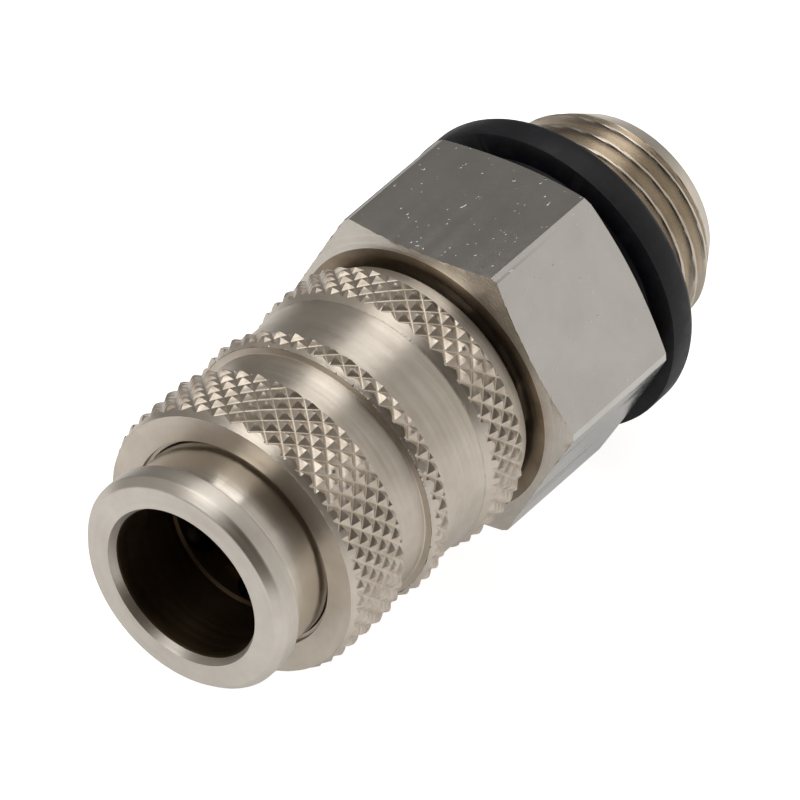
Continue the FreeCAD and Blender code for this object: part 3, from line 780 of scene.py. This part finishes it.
def make_washer():
    skin = Skin(even_angles(WASHER_STEPS))
    rough_edge = burr(skin.angles, 21, 0.1)
    rough_back = burr(skin.angles, 33, 0.05)
    profile = [
        (WASHER_BORE, HEX_BACK),
        (WASHER_HUB - 0.05, HEX_BACK),
        (WASHER_HUB, HEX_BACK + 0.05),
        (WASHER_HUB, WASHER_FRONT - 0.05),
        (WASHER_HUB + 0.05, WASHER_FRONT),
        (WASHER - 0.12, WASHER_FRONT),
        (WASHER - 0.04, WASHER_FRONT + 0.03 - rough_edge * 0.3),
        (WASHER - 0.05 + rough_edge * 0.5, WASHER_FRONT + 0.1),
        (WASHER, WASHER_FRONT + 0.2),
        (WASHER - 0.02, WASHER_BACK - 0.62),
        (WASHER - 0.09, WASHER_BACK - 0.4),
        (WASHER - 0.2 + rough_back * 0.3, WASHER_BACK - 0.2),
        (WASHER - 0.36, WASHER_BACK - 0.06),
        (WASHER - 0.55, WASHER_BACK),
        (WASHER_MOUTH, WASHER_BACK),
        (WASHER_BORE, WASHER_BACK - (WASHER_MOUTH - WASHER_BORE)),
    ]
    first = skin.ring(*profile[0])
    last = skin.turn(profile[1:], 0, first)
    skin.join(last, first, 0)
    finished_piece("washer_skin", skin, [seal_rubber], "body", "thread_washer", 45)


def make_valve_spring():
    """The valve spring's coil, copied from its CAD node with the wire finish."""
    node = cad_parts["valve_spring"]
    mesh = node.data.copy()
    mesh.transform(node.matrix_world)
    mesh.materials.clear()
    piece = placed_piece("valve_spring_skin", mesh, [spring_wire], "body", "valve_spring",
                         40)
    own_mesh(piece)


make_sleeve()
make_adapter()
make_barrel()
make_washer()
make_valve_spring()

# Inner pieces keep their own solids and get their finish
FINISHES = {
    "valve_body": inner_brass,
    "valve_guide": inner_brass,
    "sleeve_spring": spring_wire,
    "plug_seal": seal_rubber,
    "valve_seal": seal_rubber,
    "body_seal": seal_rubber,
}
for name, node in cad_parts.items():
    # The lock balls take the darkened finish, painted shade
    finish = ball_painted_shade if name.startswith("lock_ball") else FINISHES.get(name)
    if finish is None:
        continue
    for slot in node.material_slots:
        slot.material = finish

# Floor: white, with the object's soft shadow. Lengths from here on are in metres.
FLOOR_PLACE = -0.0122
FLOOR_HALF = 4.0
floor_mesh = bpy.data.meshes.new("floor")
floor_mesh.from_pydata([(x * FLOOR_HALF, y * FLOOR_HALF, FLOOR_PLACE)
                        for x, y in ((-1, -1), (1, -1), (1, 1), (-1, 1))], [], [(0, 1, 2, 3)])
floor = bpy.data.objects.new("floor", floor_mesh)
bpy.context.scene.collection.objects.link(floor)
floor_material, tree, shader = new_material("floor_white")
node_input(shader, "Base Color", (0.86, 0.86, 0.86, 1.0))
node_input(shader, "Roughness", 0.9)
node_input(shader, "Specular IOR Level", 0.1)
paths = tree.nodes.new("ShaderNodeLightPath")
glow = tree.nodes.new("ShaderNodeEmission")
node_input(glow, "Color", (1.0, 1.0, 1.0, 1.0))
GLOW_TO_CAMERA = 0.85
GLOW_IN_GLOSS = 0.31
strength = math_node(
    tree, "ADD", math_node(tree, "MULTIPLY", paths.outputs["Is Camera Ray"], GLOW_TO_CAMERA),
    math_node(tree, "MULTIPLY", paths.outputs["Is Glossy Ray"], GLOW_IN_GLOSS))
tree.links.new(strength, glow.inputs["Strength"])
added = tree.nodes.new("ShaderNodeAddShader")
tree.links.new(shader.outputs[0], added.inputs[0])
tree.links.new(glow.outputs[0], added.inputs[1])
# In the metal's gloss the white sheet fades out into the room a hand's breadth away
FADE_START = 0.1
FADE_END = 0.28
from_middle = tree.nodes.new("ShaderNodeVectorMath")
from_middle.operation = "LENGTH"
tree.links.new(tree.nodes.new("ShaderNodeTexCoord").outputs["Object"], from_middle.inputs[0])
away = map_range(tree, from_middle.outputs["Value"], FADE_START, FADE_END, 0, 1, True)
fading = tree.nodes.new("ShaderNodeMixShader")
in_gloss = math_node(tree, "MULTIPLY", away, paths.outputs["Is Glossy Ray"])
tree.links.new(in_gloss, fading.inputs[0])
tree.links.new(added.outputs[0], fading.inputs[1])
tree.links.new(tree.nodes.new("ShaderNodeBsdfTransparent").outputs[0], fading.inputs[2])
tree.links.new(fading.outputs[0], tree.nodes["Material Output"].inputs["Surface"])
floor_mesh.materials.append(floor_material)

# Room: pale on the far right, dim on the left, dark on the near right
FAR_LEFT = (0.2, 0.195, 0.185)
FAR_RIGHT = (0.66, 0.64, 0.61)
NEAR_LEFT = (0.37, 0.35, 0.325)
NEAR_RIGHT = (0.07, 0.06, 0.05)
world = bpy.data.worlds.new("studio")
bpy.context.scene.world = world
world.use_nodes = True
tree = world.node_tree
background = tree.nodes["Background"]
split = tree.nodes.new("ShaderNodeSeparateXYZ")
tree.links.new(tree.nodes.new("ShaderNodeTexCoord").outputs["Generated"], split.inputs[0])
x, y, z = split.outputs
sloping = math_node(tree, "SUBTRACT", y, math_node(tree, "MULTIPLY", z, 0.6))
far = map_range(tree, sloping, -0.45, 0.12, 0, 1, True)
far_side = mix_colour(tree, map_range(tree, x, -0.1, 0.3, 0, 1, True), FAR_LEFT, FAR_RIGHT)
near_side = mix_colour(tree, map_range(tree, x, -0.2, 0.2, 0, 1, True), NEAR_LEFT, NEAR_RIGHT)
room = mix_colour(tree, far, near_side, far_side)
paths = tree.nodes.new("ShaderNodeLightPath")
tree.links.new(mix_colour(tree, paths.outputs["Is Camera Ray"], room, (1.0, 1.0, 1.0)),
               background.inputs["Color"])
node_input(background, "Strength", 1.0)

# Light: one soft box overhead, seen in the metal but not by the camera
LIGHT_PLACE = Vector((-0.1, -0.02, 0.8))
LIGHT_TARGET = Vector((-0.1, -0.0201, 0.0))
LIGHT_WIDTH = 0.5
LIGHT_LENGTH = 1.84
LIGHT_RADIANCE = 1.38
light = bpy.data.lights.new("overhead", "AREA")
light.shape = "RECTANGLE"
light.size = LIGHT_WIDTH
light.size_y = LIGHT_LENGTH
light.energy = LIGHT_RADIANCE * math.pi * LIGHT_WIDTH * LIGHT_LENGTH
light.color = (1.0, 0.99, 0.97)
lamp = bpy.data.objects.new("overhead", light)
bpy.context.scene.collection.objects.link(lamp)
lamp.location = LIGHT_PLACE
lamp.rotation_euler = (LIGHT_PLACE - LIGHT_TARGET).to_track_quat("Z", "Y").to_euler()
lamp.visible_camera = False

# Camera: a long lens, from the nose's side and above
AIM = Vector((-0.0002057, 0.0239332, -0.0004043))
DISTANCE = 0.800542
AZIMUTH = math.radians(38.3592)
ELEVATION = math.radians(38.0837)
ROLL = math.radians(2.9335)
FOCAL_LENGTH = 549.385
SENSOR_WIDTH = 36.0
back = Vector((math.sin(AZIMUTH) * math.cos(ELEVATION), -math.cos(AZIMUTH) * math.cos(ELEVATION),
               math.sin(ELEVATION)))
camera_data = bpy.data.cameras.new("camera")
camera_data.lens = FOCAL_LENGTH
camera_data.sensor_width = SENSOR_WIDTH
camera_data.clip_start = 0.05
camera_data.clip_end = 20.0
camera = bpy.data.objects.new("camera", camera_data)
bpy.context.scene.collection.objects.link(camera)
camera.location = AIM + back * DISTANCE
level = back.to_track_quat("Z", "Y").to_matrix()
camera.rotation_euler = (level @ Matrix.Rotation(-ROLL, 3, "Z")).to_euler()
bpy.context.scene.camera = camera

bpy.context.scene.view_settings.view_transform = "Standard"
